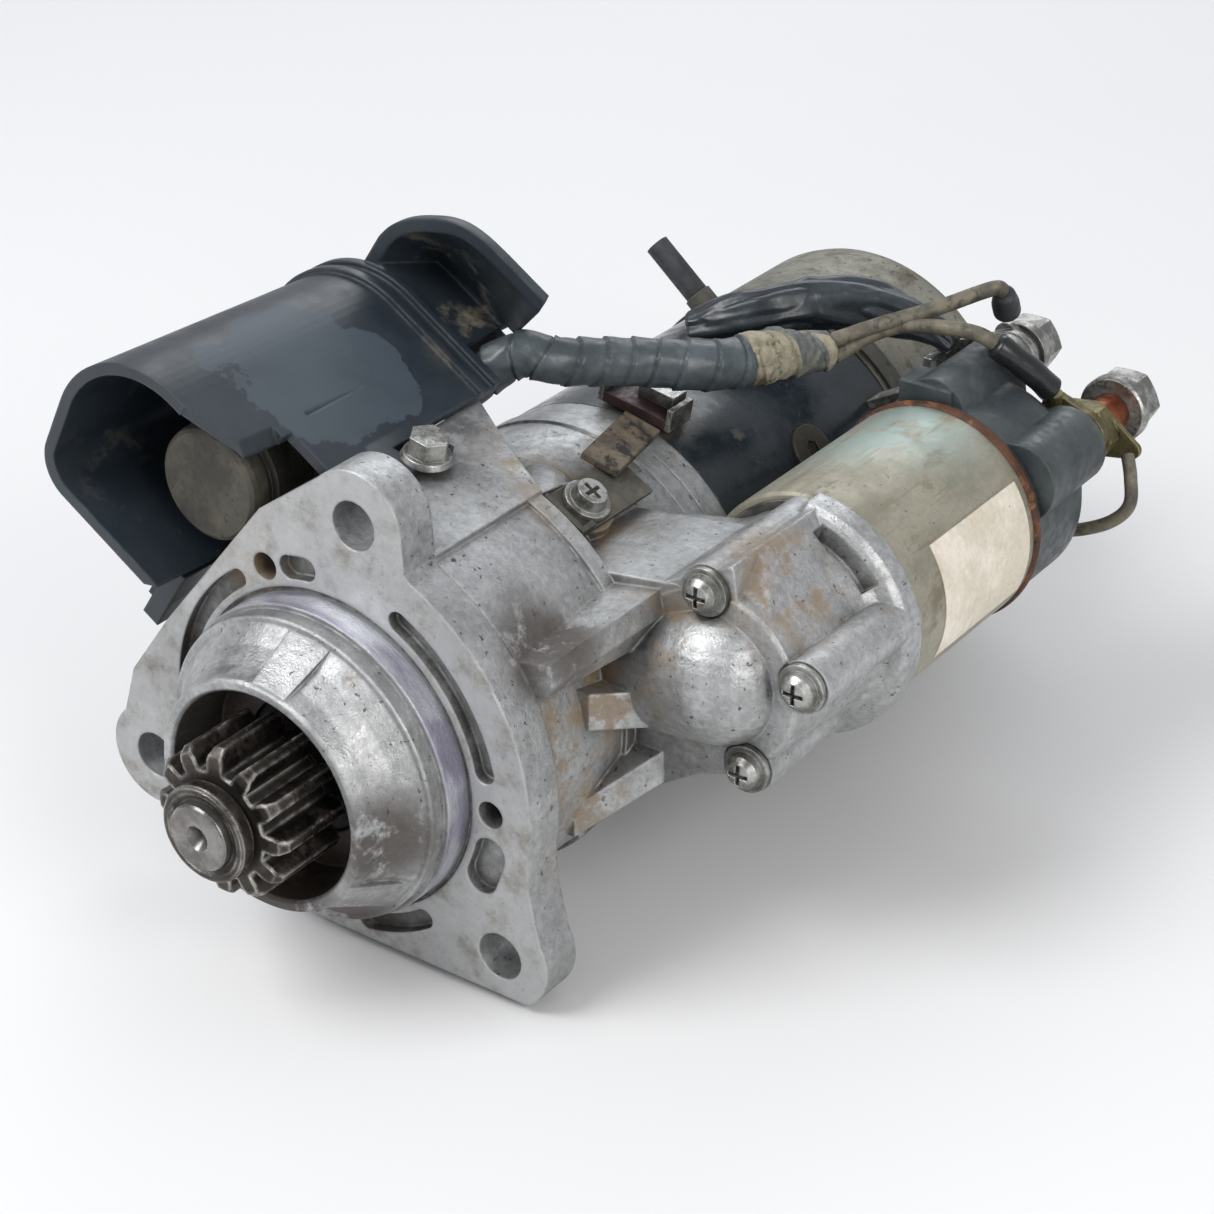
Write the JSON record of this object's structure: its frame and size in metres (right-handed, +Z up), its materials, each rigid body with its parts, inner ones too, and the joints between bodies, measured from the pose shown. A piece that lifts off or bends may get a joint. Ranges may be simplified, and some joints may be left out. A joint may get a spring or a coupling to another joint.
{
  "type": "starter motor",
  "caption": "Heavy-engine starter motor with a flanged nose, overhung pinion, parallel solenoid, planetary drive, moulded shield over a relay, and taped harness.",
  "frame": {"origin": "centre of the mounting pilot in the plane of the flange mounting face", "axes": "+Y along the pinion axis towards the motor end, so the pinion points to -Y; +X to the solenoid side; +Z up, with the top ear of the flange near +Z"},
  "size_m": [0.2237, 0.3387, 0.1771],
  "materials": {
    "cast_aluminium": "cast, dull, with brown stains",
    "zinc_can": "yellowish zinc plate with worn bluish patches",
    "rusty_steel": "rusted rim",
    "bright_zinc": "galvanised, slightly dull",
    "dark_steel": "hardened, oiled",
    "ground_steel": "ground",
    "black_paint": "gloss black paint, worn",
    "grey_bracket": "grey, dusty",
    "shield_plastic": "blue-black moulded plastic, faded patches",
    "black_plastic": "moulded, dusty",
    "magnet_dark": "ferrite",
    "holder_brown": "phenolic",
    "carbon": "carbon",
    "copper": "copper, tarnished",
    "old_brass": "tarnished",
    "label_white": "blank, scuffed",
    "relay_grey": "dusty",
    "rubber_black": "dull",
    "maroon_plastic": "dull",
    "tape_black": "wound tape, dusty",
    "tape_dusty": "dirty cloth tape",
    "wire_dark": "dusty insulation"
  },
  "bodies": {
    "housing": {"drive_housing": "cast_aluminium", "front_seal": "rubber_black", "bearings": "ground_steel", "centre_bracket": "cast_aluminium", "ring_gear": "dark_steel", "yoke": "black_paint", "yoke_plug": "relay_grey", "magnets": "magnet_dark", "rear_bracket": "grey_bracket", "brush_holder": "holder_brown", "brushes": "carbon", "through_bolts": "bright_zinc", "rear_band": "relay_grey", "drain_tube": "rubber_black", "solenoid_can": "zinc_can", "crimp_ring": "rusty_steel", "solenoid_poles": "ground_steel", "solenoid_coil": "copper", "can_label": "label_white", "solenoid_cap": "black_plastic", "terminal_studs": "copper", "battery_nut": "bright_zinc", "battery_lug": "old_brass", "motor_nut": "bright_zinc", "motor_strap": "bright_zinc", "pivot_pin": "ground_steel", "solenoid_screws": "bright_zinc", "heat_shield": "shield_plastic", "shield_bolt": "bright_zinc", "relay_can": "relay_grey", "relay_base": "black_plastic", "relay_bracket": "relay_grey", "p_clip": "relay_grey", "clip_loop": "rubber_black", "clip_screw": "bright_zinc", "lead_grommet": "maroon_plastic", "lead_tabs": "bright_zinc", "harness_loom": "tape_black", "harness_sleeve": "tape_dusty", "harness_wires": "wire_dark", "wire_sleeves": "rubber_black", "wrap_cable": "tape_black"},
    "armature": {"armature_shaft": "ground_steel", "armature_core": "dark_steel", "armature_winding": "copper", "commutator": "copper"},
    "planet_body_1": {"planet_1": "dark_steel"},
    "planet_body_2": {"planet_2": "dark_steel"},
    "planet_body_3": {"planet_3": "dark_steel"},
    "drive_clutch": {"planet_carrier": "dark_steel", "clutch_hub": "dark_steel", "clutch_rollers": "ground_steel"},
    "pinion_body": {"pinion_shaft": "ground_steel", "pinion": "dark_steel", "pinion_stop": "dark_steel", "shift_collar": "dark_steel"},
    "lever": {"shift_lever": "dark_steel"},
    "plunger_body": {"plunger": "ground_steel", "contact_plate": "copper", "return_spring": "ground_steel"}
  },
  "joints": [
    {"name": "armature_spin", "type": "hinge", "parent": "housing", "child": "armature", "pos_m": [0, 0.16, 0], "axis": [0, 1, 0], "continuous": true},
    {"name": "drive_spin", "type": "hinge", "parent": "housing", "child": "drive_clutch", "pos_m": [0, 0.095, 0], "axis": [0, 1, 0], "continuous": true},
    {"name": "pinion_slide", "type": "slide", "parent": "drive_clutch", "child": "pinion_body", "axis": [0, -1, 0], "range_m": [0, 0.015]},
    {"name": "plunger_slide", "type": "slide", "parent": "housing", "child": "plunger_body", "axis": [0, 1, 0], "range_m": [0, 0.01], "stiffness_N_per_m": 900, "springref_m": -0.004, "deforming": ["return_spring"]},
    {"name": "lever_tilt", "type": "hinge", "parent": "housing", "child": "lever", "pos_m": [0.05031, 0.062, 0.01392], "axis": [-0.2667, 0, 0.9638], "range_deg": [0, 16.48]},
    {"name": "planet_spin_1", "type": "hinge", "parent": "drive_clutch", "child": "planet_body_1", "pos_m": [0.0225, 0.111, 0], "axis": [0, 1, 0], "continuous": true},
    {"name": "planet_spin_2", "type": "hinge", "parent": "drive_clutch", "child": "planet_body_2", "pos_m": [-0.01125, 0.111, 0.01949], "axis": [0, 1, 0], "continuous": true},
    {"name": "planet_spin_3", "type": "hinge", "parent": "drive_clutch", "child": "planet_body_3", "pos_m": [-0.01125, 0.111, -0.01949], "axis": [0, 1, 0], "continuous": true}
  ],
  "couplings": [
    {"joint": "drive_spin", "follows": "armature_spin", "ratio": 0.25},
    {"joint": "planet_spin_1", "follows": "armature_spin", "ratio": -0.75},
    {"joint": "planet_spin_2", "follows": "armature_spin", "ratio": -0.75},
    {"joint": "planet_spin_3", "follows": "armature_spin", "ratio": -0.75},
    {"joint": "lever_tilt", "follows": "plunger_slide", "rad_per_m": 28.736},
    {"joint": "pinion_slide", "follows": "plunger_slide", "ratio": 1.5}
  ]
}
